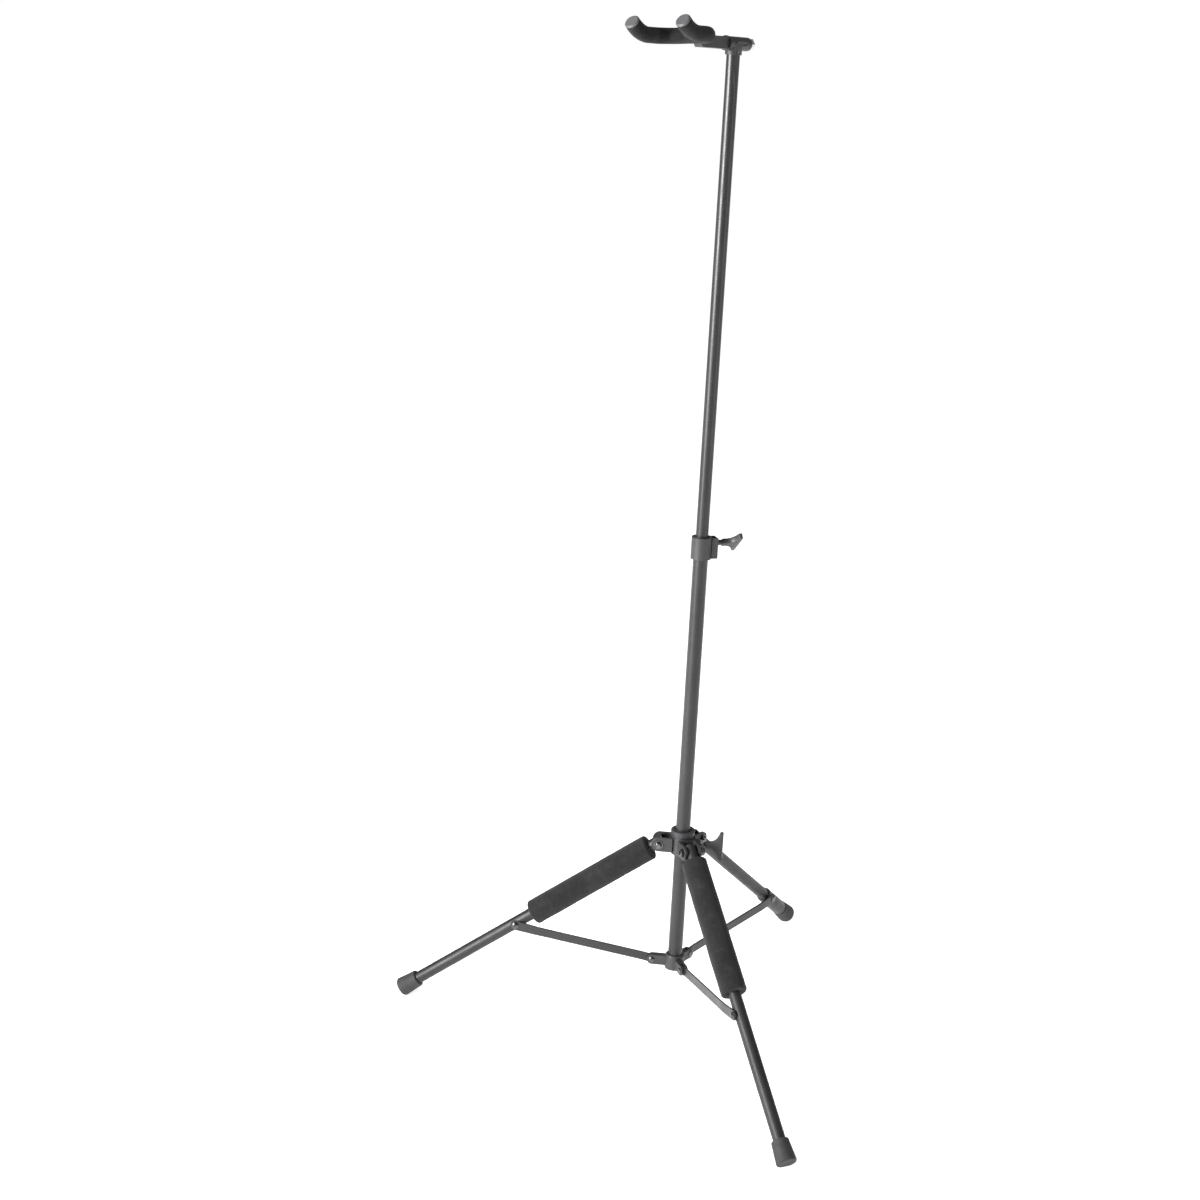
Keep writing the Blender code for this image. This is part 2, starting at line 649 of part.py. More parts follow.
def brace_plan(length, sideways):
    """The strip seen from above: straight in the spider, slanting outwards, then straight again."""
    half = BRACE_THICKNESS / 2
    start = SLANT_START
    stop = length - SLANT_END
    end = length + BRACE_LUG_R
    near = [(-BRACE_EYE_R, -half), (start, -half), (stop, sideways - half), (end, sideways - half)]
    far = [(end, sideways + half), (stop, sideways + half), (start, half), (-BRACE_EYE_R, half)]
    return near + far


def brace_profile(length):
    """The strip seen from the side: a round eye, parallel edges and a round lug."""
    lug = arc((length, 0.0), BRACE_LUG_R, radians(-75), radians(75), 12)
    eye = arc((0.0, 0.0), BRACE_EYE_R, radians(90), radians(270), 12)
    neck = length - LUG_LENGTH
    return lug + [(neck, BRACE_EYE_R)] + eye + [(neck, -BRACE_EYE_R)]


def brace_offset(side):
    """Sideways distance from the leg's axis to the middle of the brace's lug."""
    surface = REAR_COLLAR_R if side == "rear" else LEG_TUBE_R
    return surface + GAP + BRACE_THICKNESS / 2


def build_brace(side, hinge):
    """Flat strip on edge, slanted sideways so that its outer end lies beside the leg."""
    length = brace_length()
    sideways = BRACE_SIDES[side] * brace_offset(side)
    strip = flat_outline_mesh(side + "_brace", brace_plan(length, sideways), 2 * BRACE_LUG_R)
    brace = add_part(side + "_brace", strip, hinge, "black_paint")
    outline = flat_outline_mesh(side + "_brace_profile", brace_profile(length), 0.02)
    apply_tool(brace, add_tool(outline, hinge, rotation=(pi / 2, 0, 0)), "INTERSECT")
    for name, place in (("eye", (0, 0, 0)), ("rivet_hole", (length, sideways, 0))):
        hole = cylinder_mesh(side + "_brace_" + name, RIVET_R + GAP, 0.02, SMALL_STEPS)
        apply_tool(brace, add_tool(hole, hinge, place, (pi / 2, 0, 0)), "DIFFERENCE")


def build_leg_rivet(side, hinge):
    """Domed rivet through the brace's lug, ending at the leg's wall."""
    turn = (-pi / 2 * BRACE_SIDES[side], 0, 0)
    middle = brace_offset(side)
    inner = middle - BRACE_THICKNESS / 2
    seat = middle + BRACE_THICKNESS / 2 + GAP
    rivet = [(0, seat + 0.0024), (0.0028, seat + 0.0020), (0.0046, seat + 0.0007), (0.0048, seat),
             (RIVET_R, seat), (RIVET_R, inner), (0, inner)]
    turned(side + "_leg_rivet", rivet, hinge, "chrome", steps=SMALL_STEPS,
           location=(brace_length(), 0, 0), rotation=turn)


def build_leg(side, mast, hub):
    """One leg with its pivot bolt, foot, brace and rivets."""
    bearing = LEG_BEARINGS[side]
    pivot = radial(bearing) * PIVOT_RADIUS
    leg = add_empty(side + "_leg_hinge", hub, pivot, (0, -LEG_ANGLES[side], bearing))
    hardware = add_empty(side + "_leg_hardware", hub, pivot, (0, 0, bearing))
    brace = add_empty(side + "_brace_hinge", mast, pivot, (0, -brace_rise(side), bearing))
    build_leg_tube(side, leg)
    build_foot(side, leg)
    if side == "rear":
        build_rear_collar(leg)
    else:
        build_leg_foam(side, leg)
    build_leg_bolt(side, hardware, hardware)
    build_spider_rivet(side, brace)
    build_brace(side, brace)
    build_leg_rivet(side, brace)


# --- yoke -------------------------------------------------------------------------

def build_head(upper):
    """Moulded T: a short neck on the upper tube and a cross barrel for the yoke's pivot."""
    length = BARREL_REAR - BARREL_FRONT
    edge = 0.0008
    high = -BARREL_FRONT
    low = -BARREL_REAR
    barrel = [(0, high), (BARREL_R - edge, high), (BARREL_R, high - edge), (BARREL_R, low + edge),
              (BARREL_R - edge, low), (0, low)]
    level = (0, 0, BARREL_LEVEL)
    frame = add_empty("head_frame", upper, level, (pi / 2, 0, 0))
    head = turned("yoke_head", barrel, frame, "grey_plastic")
    outer = SOCKET_WALL + GAP
    neck_section = tube_section(UPPER_TUBE_R + outer, SWAGE_HALF + outer, SWAGE_STRETCH)
    neck = flat_outline_mesh("head_neck", neck_section, (BARREL_LEVEL - SOCKET_FOOT) / 2)
    apply_tool(head, add_tool(neck, upper, (0, 0, (BARREL_LEVEL + SOCKET_FOOT) / 2)), "UNION")
    bore_section = tube_section(UPPER_TUBE_R + GAP, SWAGE_HALF + GAP, SWAGE_STRETCH)
    bore = flat_outline_mesh("head_bore", bore_section, 0.01)
    apply_tool(head, add_tool(bore, upper, (0, 0, UPPER_TUBE_TOP + GAP - 0.01)), "DIFFERENCE")
    hole = cylinder_mesh("head_pivot_hole", PIVOT_STUD_R + GAP, 3 * length, SMALL_STEPS)
    apply_tool(head, add_tool(hole, upper, level, (pi / 2, 0, 0)), "DIFFERENCE")
    eye = cylinder_mesh("head_pin_hole", HEAD_PIN_R + GAP, 0.05, SMALL_STEPS)
    apply_tool(head, add_tool(eye, upper, (0, 0, HEAD_PIN_LEVEL), (0, pi / 2, 0)), "DIFFERENCE")
    reach = SWAGE_HALF + SOCKET_WALL
    pin = [(0, reach), (HEAD_PIN_R, reach), (HEAD_PIN_R, -reach), (0, -reach)]
    level = (0, 0, HEAD_PIN_LEVEL)
    turned("head_pin", pin, upper, "steel", steps=SMALL_STEPS, location=level, rotation=(0, pi / 2, 0))


def build_yoke_pivot(yoke):
    """Stud from the bar through the barrel, with a friction washer, a washer and a nut."""
    turn = (pi / 2, 0, 0)
    bore = PIVOT_STUD_R + GAP
    rear_face = -BARREL_REAR - GAP
    nut_face = rear_face - 0.0012 - GAP
    front_face = -BARREL_FRONT + GAP
    front = -BAR_REAR + 0.0150
    back = nut_face - 0.0070
    stud = [(0, front), (PIVOT_STUD_R, front), (PIVOT_STUD_R, back + 0.0008),
            (PIVOT_STUD_R - 0.0008, back), (0, back)]
    turned("yoke_pivot_stud", stud, yoke, "chrome", steps=SMALL_STEPS, rotation=turn)
    back_face = front_face + 0.0018
    ring("yoke_friction_washer", 0.0088, bore, front_face, back_face, yoke, "black_plastic", rotation=turn)
    ring("yoke_rear_washer", 0.0078, bore, rear_face - 0.0012, rear_face, yoke, "chrome", rotation=turn)
    nut_frame = add_empty("yoke_nut_frame", yoke, rotation=turn)
    low = nut_face - 0.0052
    build_nut("yoke_pivot_nut", nut_frame, low, nut_face, "chrome", PIVOT_NUT_FLATS, PIVOT_STUD_R)


def build_bar(yoke):
    """Rectangular bar from the pivot, ending in a boss that grips the bent rod."""
    half = BAR_HEIGHT / 2
    corner = 0.0045
    front = arc((BAR_FRONT + corner, corner - half), corner, -pi / 2, -pi, 6)
    tongue = [(BAR_FRONT, ROD_RISE - 0.0045), (ROD_BACK, ROD_RISE - 0.0045), (ROD_BACK, half)]
    outline = [(BAR_REAR, -half)] + front + tongue + [(BAR_REAR, half)]
    mesh = flat_outline_mesh("yoke_bar", outline, BAR_HALF_WIDTH)
    bar = add_part("yoke_bar", mesh, yoke, "grey_plastic", rotation=(pi / 2, 0, pi / 2))
    place = (0, ROD_BACK, ROD_RISE)
    boss = cylinder_mesh("bar_boss", ROD_BOSS_R, 2 * BAR_HALF_WIDTH)
    apply_tool(bar, add_tool(boss, yoke, place, (0, pi / 2, 0)), "UNION")
    bore = cylinder_mesh("bar_rod_bore", ROD_R + GAP, 0.05)
    apply_tool(bar, add_tool(bore, yoke, place, (0, pi / 2, 0)), "DIFFERENCE")
    hole = cylinder_mesh("bar_stud_hole", PIVOT_STUD_R + GAP, 0.0312, SMALL_STEPS)
    apply_tool(bar, add_tool(hole, yoke, (0, BAR_REAR, 0), (pi / 2, 0, 0)), "DIFFERENCE")


def yoke_path(tip_extra=0.0):
    """Centre line of the U, from the left tip round to the right tip."""
    side = ARM_HALF_SPAN
    back = ROD_BACK
    corner = arc((side - ARM_CORNER_R, back - ARM_CORNER_R), ARM_CORNER_R, pi / 2, 0.0, 8)
    half = [(x, y, ROD_RISE) for x, y in corner]
    bend_start = back - ARM_CORNER_R - ARM_STRAIGHT
    for i in range(9):
        turn = ARM_BEND * i / 8
        half.append((side, bend_start - ARM_BEND_R * sin(turn), ROD_RISE + ARM_BEND_R * (1 - cos(turn))))
    reach = ARM_TIP + tip_extra
    x, y, z = half[-1]
    half.append((x, y - reach * cos(ARM_BEND), z + reach * sin(ARM_BEND)))
    return [(-x, y, z) for x, y, z in reversed(half)] + half


def build_yoke(yoke):
    """Steel rod bent to a U, its foam cover and the caps on its two tips."""
    add_part("yoke_rod", swept_mesh("yoke_rod", yoke_path(), ROD_R, 3), yoke, "steel")
    foam = add_part("yoke_foam", swept_mesh("yoke_foam", yoke_path(), YOKE_FOAM_R), yoke, "foam")
    bore = swept_mesh("yoke_foam_bore", yoke_path(0.02), ROD_R + GAP, 3)
    apply_tool(foam, add_tool(bore, yoke), "DIFFERENCE")
    width = BAR_HALF_WIDTH + GAP
    radius = ROD_BOSS_R + GAP
    pocket = cylinder_mesh("yoke_foam_pocket", radius, 2 * width)
    apply_tool(foam, add_tool(pocket, yoke, (0, ROD_BACK, ROD_RISE), (0, pi / 2, 0)), "DIFFERENCE")
    side = width + 0.0002
    low = ROD_RISE - 0.0049
    notch = box_mesh("yoke_foam_notch", (-side, ROD_BACK, low), (side, BAR_FRONT, low + 0.0098))
    apply_tool(foam, add_tool(notch, yoke), "DIFFERENCE")
    build_tip_caps(yoke)


def build_tip_caps(yoke):
    tip = Vector(yoke_path(GAP)[-1])
    radius = YOKE_FOAM_R - 0.0004
    high = TIP_CAP_LENGTH
    cap = [(0, high), (radius - 0.0012, high), (radius, high - 0.0012), (radius, 0), (0, 0)]
    for name, sign in (("left_tip_cap", -1), ("right_tip_cap", 1)):
        place = (sign * tip.x, tip.y, tip.z)
        turned(name, cap, yoke, "grey_plastic", location=place, rotation=(pi / 2 - ARM_BEND, 0, 0))


# --- assembly ---------------------------------------------------------------------

def build_stand():
    clear_scene()
    bpy.context.scene.collection.children.link(PARTS)
    bpy.context.scene.collection.children.link(CUTTERS)
    base = (0.0, mast_base_offset(), mast_base_height())
    mast = add_empty("mast_frame", None, base, (-MAST_LEAN, 0, 0))
    upper = add_empty("upper_slide", mast)
    hub = add_empty("hub_slide", mast, (0, 0, HUB_HEIGHT))
    yoke = add_empty("yoke_swivel", upper, (0, 0, BARREL_LEVEL), (0, YOKE_REST_ROLL, 0))
    build_tubes(mast, upper)
    build_end_plug(mast)
    build_spider(mast)
    build_height_collar(mast)
    height_tip = SPIDER_BORE_R + GAP
    place = (mast, HEIGHT_STUD_LEVEL, HEIGHT_CLAMP_BEARING)
    shoulder = EAR_REACH + GAP
    build_clamp_screw("height_clamp", place, height_tip, shoulder, 0.0270, HEIGHT_HANDLE_ROLL)
    build_hub(hub)
    place = (hub, HUB_STUD_LEVEL - HUB_HEIGHT, HUB_CLAMP_BEARING)
    build_clamp_screw("hub_clamp", place, HUB_BORE_R, 0.0286, 0.0312, HUB_HANDLE_ROLL)
    for side in LEG_BEARINGS:
        build_leg(side, mast, hub)
    build_head(upper)
    build_yoke_pivot(yoke)
    build_bar(yoke)
    build_yoke(yoke)
    smooth_rounds()


build_stand()
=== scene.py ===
"""Looks of a hanging guitar stand: painted tubes, moulded plastic, foam and rubber."""
import json
from math import atan2, cos, pi, radians, sin

import bmesh
import bpy
from mathutils import Matrix, Vector, noise


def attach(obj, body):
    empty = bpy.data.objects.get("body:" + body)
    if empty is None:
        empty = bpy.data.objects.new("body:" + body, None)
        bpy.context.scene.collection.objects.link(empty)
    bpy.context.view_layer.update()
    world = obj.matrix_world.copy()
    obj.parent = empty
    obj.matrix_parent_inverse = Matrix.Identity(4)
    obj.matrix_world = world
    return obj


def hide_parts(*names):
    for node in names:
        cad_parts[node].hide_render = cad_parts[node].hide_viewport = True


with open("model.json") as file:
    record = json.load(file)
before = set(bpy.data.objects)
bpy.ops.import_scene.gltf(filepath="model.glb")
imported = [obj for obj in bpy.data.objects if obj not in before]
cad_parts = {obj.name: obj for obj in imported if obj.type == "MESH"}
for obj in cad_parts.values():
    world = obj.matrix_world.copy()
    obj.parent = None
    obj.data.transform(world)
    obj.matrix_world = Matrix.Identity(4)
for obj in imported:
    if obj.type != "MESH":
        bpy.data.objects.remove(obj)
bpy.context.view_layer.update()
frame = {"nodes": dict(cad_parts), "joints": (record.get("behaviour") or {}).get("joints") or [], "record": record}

NODES = frame["nodes"]
JOINTS = {joint["name"]: joint for joint in frame["joints"]}
SLOTS = {part["node"]: part["material_slot"] for part in frame["record"]["subparts"]}

# --- sizes of the pieces made here, in metres -------------------------------------

SLEEVE_LIP = 0.0022
SLEEVE_SEGMENTS = 96
SLEEVE_RINGS = 120
YOKE_ROLL = radians(-3.2)
ROD_BACK = -0.0920
ROD_RISE = 0.0046
ARM_HALF_SPAN = 0.0355
ARM_CORNER_R = 0.0180
ARM_STRAIGHT = 0.0096
ARM_BEND_R = 0.0450
ARM_BEND = radians(41.0)
ARM_TIP = 0.0010
YOKE_FOAM_R = 0.0093
YOKE_BAR_HALF = 0.0060
BARREL_R = 0.0080
PLAQUE_HALF_LENGTH = 0.0130
PLAQUE_HALF_HEIGHT = 0.0031
PLAQUE_CENTRE = 0.0055
PLAQUE_STEPS = ((0.0074, 1.00), (0.0084, 1.00), (0.0089, 0.95),
                (0.0090, 0.85), (0.0084, 0.80), (0.0084, 0.4))
FOAM_UNEVENNESS = 0.0006
YOKE_UNEVENNESS = 0.0003
MERGE = 0.000002
CORNER_ANGLE = radians(32.0)
FLOOR_HALF = 60.0
SURROUND_R = 58.0

# --- camera, measured from the foot of the mast -----------------------------------

MAST_FOOT = Vector((0.0, -0.0353, 0.0656))
CAMERA_PLACE = MAST_FOOT + Vector((1.281, -1.727, 1.332))
CAMERA_PITCH = radians(90.0 - 18.8)
CAMERA_HEADING = radians(36.55)
CAMERA_LENS = 55.3
CAMERA_SHIFT = (-0.0625, -0.054)

# --- lights: name, place, target, (width, height), watts --------------------------

WORLD_STRENGTH = 0.27
LIGHTS = (
    ("front_strip", (-0.75, -2.75, 1.30), (0, 0, 0.95), (0.62, 0.95), 135.0),
    ("leg_light", (-1.05, -1.85, 1.65), (0.1, -0.1, 0.1), (0.24, 0.30), 32.0),
    ("right_strip", (2.60, 0.55, 0.90), (0, 0, 0.60), (0.30, 1.60), 9.0),
    ("top", (-0.6, -0.6, 3.6), (0, 0, 0.2), (1.8, 1.8), 20.0),
)


# --- shader building --------------------------------------------------------------

class Nodes:
    """A short way to add and join shader nodes."""

    def __init__(self, name):
        self.material = bpy.data.materials.new(name)
        self.material.use_nodes = True
        self.tree = self.material.node_tree
        self.shader = self.tree.nodes["Principled BSDF"]
        self.place = self.add("ShaderNodeTexCoord").outputs["Object"]

    def add(self, kind, **settings):
        node = self.tree.nodes.new(kind)
        for key, value in settings.items():
            setattr(node, key, value)
        return node

    def join(self, source, target):
        self.tree.links.new(source, target)

    def noise(self, scale, detail=4.0, roughness=0.55):
        node = self.add("ShaderNodeTexNoise")
        node.inputs["Scale"].default_value = scale
        node.inputs["Detail"].default_value = detail
        node.inputs["Roughness"].default_value = roughness
        self.join(self.place, node.inputs["Vector"])
        return node.outputs["Fac"]

    def cells(self, scale):
        node = self.add("ShaderNodeTexVoronoi")
        node.inputs["Scale"].default_value = scale
        self.join(self.place, node.inputs["Vector"])
        return node.outputs["Distance"]

    def spread(self, factor, low, high, start=0.35, stop=0.65):
        """A number that runs from low to high as the factor passes from start to stop."""
        node = self.add("ShaderNodeMapRange")
        node.inputs["From Min"].default_value = start
        node.inputs["From Max"].default_value = stop
        node.inputs["To Min"].default_value = low
        node.inputs["To Max"].default_value = high
        self.join(factor, node.inputs["Value"])
        return node.outputs["Result"]

    def mix(self, factor, first, second):
        """A colour between two, each given as three numbers or as another node's output."""
        node = self.add("ShaderNodeMix", data_type="RGBA")
        self.join(factor, node.inputs["Factor"])
        for socket, colour in ((node.inputs[6], first), (node.inputs[7], second)):
            if isinstance(colour, tuple):
                socket.default_value = (*colour, 1.0)
            else:
                self.join(colour, socket)
        return node.outputs[2]

    def edges(self, radius, start=0.04, stop=0.30):
        """(softened normal, mask that is 1 on sharp edges)."""
        soft = self.add("ShaderNodeBevel", samples=4)
        soft.inputs["Radius"].default_value = radius
        shape = self.add("ShaderNodeNewGeometry")
        dot = self.add("ShaderNodeVectorMath", operation="DOT_PRODUCT")
        self.join(soft.outputs["Normal"], dot.inputs[0])
        self.join(shape.outputs["Normal"], dot.inputs[1])
        mask = self.spread(dot.outputs["Value"], 1.0, 0.0, 1.0 - stop, 1.0 - start)
        return soft.outputs["Normal"], mask

    def bump(self, height, strength, distance, normal=None):
        node = self.add("ShaderNodeBump")
        node.inputs["Strength"].default_value = strength
        node.inputs["Distance"].default_value = distance
        self.join(height, node.inputs["Height"])
        if normal is not None:
            self.join(normal, node.inputs["Normal"])
        return node.outputs["Normal"]

    def set(self, **values):
        for key, value in values.items():
            self.shader.inputs[key.replace("_", " ")].default_value = value


def times(nodes, first, second):
    """The product of two node outputs."""
    node = nodes.add("ShaderNodeMath", operation="MULTIPLY")
    nodes.join(first, node.inputs[0])
    nodes.join(second, node.inputs[1])
    return node.outputs["Value"]


def paint_material(name, smooth, rough, coat):
    """Black enamel on steel: slight orange peel, dust, and wear on the edges."""
    n = Nodes(name)
    cloudy = n.mix(n.spread(n.noise(14.0), 0.0, 1.0), (0.0060, 0.0060, 0.0064), (0.0120, 0.0120, 0.0125))
    specks = n.spread(n.noise(900.0, 2.0), 0.0, 0.35, 0.62, 0.72)
    dusty = n.mix(specks, cloudy, (0.05, 0.05, 0.052))
    soft, edge = n.edges(0.0005)
    worn = times(n, edge, n.spread(n.noise(160.0), 0.0, 0.55))
    n.join(n.mix(worn, dusty, (0.13, 0.13, 0.135)), n.shader.inputs["Base Color"])
    n.join(n.spread(n.noise(40.0), smooth, rough), n.shader.inputs["Roughness"])
    n.join(n.bump(n.noise(1300.0, 2.0), 0.05, 0.0002, soft), n.shader.inputs["Normal"])
    n.set(Coat_Weight=coat, Coat_Roughness=0.30)
    return n.material


def moulded_material(name, dark, pale, edge_colour, roughness, grain=1500.0):
    """Moulded plastic with a fine spark-eroded grain and rubbed edges."""
    n = Nodes(name)
    base = n.mix(n.spread(n.noise(22.0), 0.0, 1.0), dark, pale)
    flecks = n.spread(n.noise(2200.0, 1.0), 0.0, 0.30, 0.55, 0.70)
    base = n.mix(flecks, base, edge_colour)
    soft, edge = n.edges(0.0007)
    rubbed = times(n, edge, n.spread(n.noise(220.0), 0.15, 0.75))
    n.join(n.mix(rubbed, base, edge_colour), n.shader.inputs["Base Color"])
    n.join(n.spread(n.noise(90.0), roughness - 0.06, roughness + 0.08), n.shader.inputs["Roughness"])
    n.join(n.bump(n.noise(grain, 3.0), 0.22, 0.0002, soft), n.shader.inputs["Normal"])
    return n.material


def foam_material(name, dark, pale, sheen, gloss):
    """Closed-cell foam: a skin of tiny pitted cells, darker toward the bottom of each pit as painted shade, with
    paler scuffs.
    """
    n = Nodes(name)
    base = n.mix(n.spread(n.noise(30.0, 6.0), 0.0, 1.0), dark, pale)
    scuffs = times(n, n.spread(n.noise(60.0, 5.0), 0.0, 0.5, 0.50, 0.75), n.spread(n.noise(700.0), 0.2, 1.0))
    base = n.mix(scuffs, base, (0.040, 0.040, 0.042))
    pit_depth_and_shade = n.spread(n.cells(1500.0), 0.0, 1.0, 0.05, 0.55)
    # Colour goes darker toward the bottom of each pit: painted shade in the recesses.
    n.join(n.mix(pit_depth_and_shade, (0.006, 0.006, 0.0062), base), n.shader.inputs["Base Color"])
    n.join(n.spread(n.noise(400.0), 0.82, 0.98), n.shader.inputs["Roughness"])
    coarse = n.bump(n.noise(240.0, 5.0), 0.25, 0.0006)
    n.join(n.bump(pit_depth_and_shade, 0.45, 0.00025, coarse), n.shader.inputs["Normal"])
    n.set(Sheen_Weight=sheen, Sheen_Roughness=0.6, Specular_IOR_Level=gloss)
    return n.material


def metal_material(name, colour, dull, roughness, scratch):
    """Plated steel with fine scratches and a slightly cloudy finish."""
    n = Nodes(name)
    n.join(n.mix(n.spread(n.noise(120.0), 0.0, 1.0), dull, colour), n.shader.inputs["Base Color"])
    n.join(n.spread(n.noise(300.0), roughness * 0.7, roughness * 1.5), n.shader.inputs["Roughness"])
    soft, _ = n.edges(0.0003)
    n.join(n.bump(n.noise(1800.0, 2.0), scratch, 0.0001, soft), n.shader.inputs["Normal"])
    n.set(Metallic=1.0)
    return n.material


MATERIALS = {
    "black_paint": paint_material("black_paint", 0.36, 0.46, 0.20),
    "grey_plastic": moulded_material("grey_plastic", (0.021, 0.021, 0.022), (0.034, 0.034, 0.036),
                                     (0.085, 0.085, 0.088), 0.46),
    "black_plastic": moulded_material("black_plastic", (0.010, 0.010, 0.011), (0.018, 0.018, 0.019),
                                      (0.05, 0.05, 0.052), 0.55),
    "rubber": moulded_material("rubber", (0.020, 0.020, 0.021), (0.034, 0.034, 0.036),
                               (0.062, 0.062, 0.065), 0.72, 1100.0),
    "foam": foam_material("foam", (0.0060, 0.0060, 0.0063), (0.0128, 0.0128, 0.0132), 0.08, 0.26),
    "chrome": metal_material("chrome", (0.78, 0.78, 0.79), (0.62, 0.62, 0.63), 0.12, 0.05),
    "steel": metal_material("steel", (0.42, 0.42, 0.43), (0.28, 0.28, 0.29), 0.32, 0.15),
}
LEG_PAINT = paint_material("leg_paint", 0.46, 0.56, 0.06)
# Darker copy of the foam for the yoke pad: painted shade, set lower because the yoke catches more light from above
# and in front.
YOKE_FOAM_PAINTED_SHADE = foam_material("yoke_foam", (0.0045, 0.0045, 0.0047), (0.0100, 0.0100, 0.0103), 0.05, 0.22)
DARK_METAL = metal_material("dark_plating", (0.16, 0.16, 0.165), (0.07, 0.07, 0.072), 0.22, 0.06)
CAP_MATERIAL = moulded_material("tip_cap", (0.060, 0.060, 0.063), (0.085, 0.085, 0.088),
                                (0.16, 0.16, 0.165), 0.50)


# --- CAD nodes --------------------------------------------------------------------

def dress_node(name, node):
    """Smooth shading between the facets of a round piece, sharp where it turns a corner."""
    node.data.shade_smooth()
    weld = node.modifiers.new("weld", "WELD")
    weld.merge_threshold = MERGE
    split = node.modifiers.new("corners", "EDGE_SPLIT")
    split.split_angle = CORNER_ANGLE
    material = MATERIALS[SLOTS[name]]
    if name.endswith("tip_cap"):
        material = CAP_MATERIAL
    elif name.endswith("_leg_tube"):
        material = LEG_PAINT
    elif SLOTS[name] == "chrome" and not name.startswith("yoke"):
        material = DARK_METAL
    if not node.material_slots:
        node.data.materials.append(material)
    for slot in node.material_slots:
        slot.material = material


# --- foam -------------------------------------------------------------------------

def finish_piece(name, shape, slot, body):
    """A new object from a bmesh, riding on a body and taking its finish from a slot."""
    bmesh.ops.recalc_face_normals(shape, faces=shape.faces)
    mesh = bpy.data.meshes.new(name)
    shape.to_mesh(mesh)
    shape.free()
    mesh.shade_smooth()
    mesh.materials.append(MATERIALS[slot])
    piece = bpy.data.objects.new(name, mesh)
    bpy.context.scene.collection.objects.link(piece)
    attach(piece, body)
    return piece


def skin_rings(shape, rings, closed_along):
    """Quads between rings of points; the rings join end to start, or are capped."""
    loops = [[shape.verts.new(point) for point in ring] for ring in rings]
    count = len(loops[0])
    pairs = list(zip(loops, loops[1:]))
    if closed_along:
        pairs.append((loops[-1], loops[0]))
    for first, second in pairs:
        for i in range(count):
            j = (i + 1) % count
            shape.faces.new((first[i], first[j], second[j], second[i]))
    if not closed_along:
        shape.faces.new(loops[0])
        shape.faces.new(loops[-1][::-1])


def uneven(point, scale, depth):
    """How far the foam stands in from its nominal surface at a point."""
    wave = noise.noise(point * scale) + 0.5 * noise.noise(point * scale * 2.7)
    return -depth * (0.5 + 0.5 * wave)


def sleeve_section(outer, bore, low, high):
    """(radius, height) round the section: up the outside, round the lips, down the bore."""
    section = []
    for i in range(9):
        turn = pi / 2 * i / 8
        section.append((outer - SLEEVE_LIP * (1 - sin(turn)), low + SLEEVE_LIP * (1 - cos(turn))))
    for i in range(1, SLEEVE_RINGS):
        section.append((outer, low + SLEEVE_LIP + (high - low - 2 * SLEEVE_LIP) * i / SLEEVE_RINGS))
    for i in range(9):
        turn = pi / 2 * i / 8
        section.append((outer - SLEEVE_LIP * (1 - cos(turn)), high - SLEEVE_LIP * (1 - sin(turn))))
    middle = (bore + outer - SLEEVE_LIP) / 2
    return section + [(middle, high - 0.0002), (bore, high), (bore, low), (middle, low + 0.0002)]


def build_sleeve(side):
    """Foam tube on a front leg: cut square at both ends, with soft lips."""
    name = side + "_leg_foam"
    hinge = Vector(JOINTS[side + "_leg_fold"]["pos_m"])
    points = [vertex.co.copy() for vertex in NODES[name].data.vertices]
    centre = sum(points, Vector()) / len(points)
    along = (centre - hinge).normalized()
    reach = [(point - hinge).dot(along) for point in points]
    radii = [((point - hinge) - along * (point - hinge).dot(along)).length for point in points]
    turn = along.to_track_quat("Z", "Y").to_matrix()
    section = sleeve_section(max(radii), min(radii), min(reach), max(reach))
    rings = []
    for radius, height in section:
        ring = []
        for i in range(SLEEVE_SEGMENTS):
            angle = 2 * pi * i / SLEEVE_SEGMENTS
            place = Vector((cos(angle), sin(angle), 0)) * radius + Vector((0, 0, height))
            if radius > min(radii) + 0.001:
                size = radius + uneven(place, 45.0, FOAM_UNEVENNESS)
                place = Vector((cos(angle) * size, sin(angle) * size, height))
            ring.append(hinge + turn @ place)
        rings.append(ring)
    shape = bmesh.new()
    skin_rings(shape, rings, True)
    piece = finish_piece(side + "_foam_sleeve", shape, "foam", side + "_leg")
    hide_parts(name)


def swivel_matrix():
    """The head's frame, with the swivel's axis as Y."""
    joint = JOINTS["yoke_swivel"]
    lean = atan2(joint["axis"][2], joint["axis"][1])
    return Matrix.Translation(joint["pos_m"]) @ Matrix.Rotation(lean, 4, "X")


def yoke_matrix():
    """The yoke's own frame, which hangs a little to one side of the head's."""
    return swivel_matrix() @ Matrix.Rotation(YOKE_ROLL, 4, "Y")


def yoke_path():
    """Centre line of the U, from the left tip round to the right tip."""
    half = [(x, ROD_BACK, ROD_RISE) for x in (0.0, 0.005, 0.010, 0.014)]
    for i in range(25):
        turn = pi / 2 * (1 - i / 24)
        half.append((ARM_HALF_SPAN - ARM_CORNER_R + ARM_CORNER_R * cos(turn),
                     ROD_BACK - ARM_CORNER_R + ARM_CORNER_R * sin(turn), ROD_RISE))
    bend_start = ROD_BACK - ARM_CORNER_R - ARM_STRAIGHT
    for i in range(1, 5):
        half.append((ARM_HALF_SPAN, ROD_BACK - ARM_CORNER_R - ARM_STRAIGHT * i / 5, ROD_RISE))
    for i in range(25):
        turn = ARM_BEND * i / 24
        half.append((ARM_HALF_SPAN, bend_start - ARM_BEND_R * sin(turn),
                     ROD_RISE + ARM_BEND_R * (1 - cos(turn))))
    x, y, z = half[-1]
    half.append((x, y - ARM_TIP * cos(ARM_BEND), z + ARM_TIP * sin(ARM_BEND)))
    return [Vector((-x, y, z)) for x, y, z in reversed(half[1:])] + [Vector(p) for p in half]


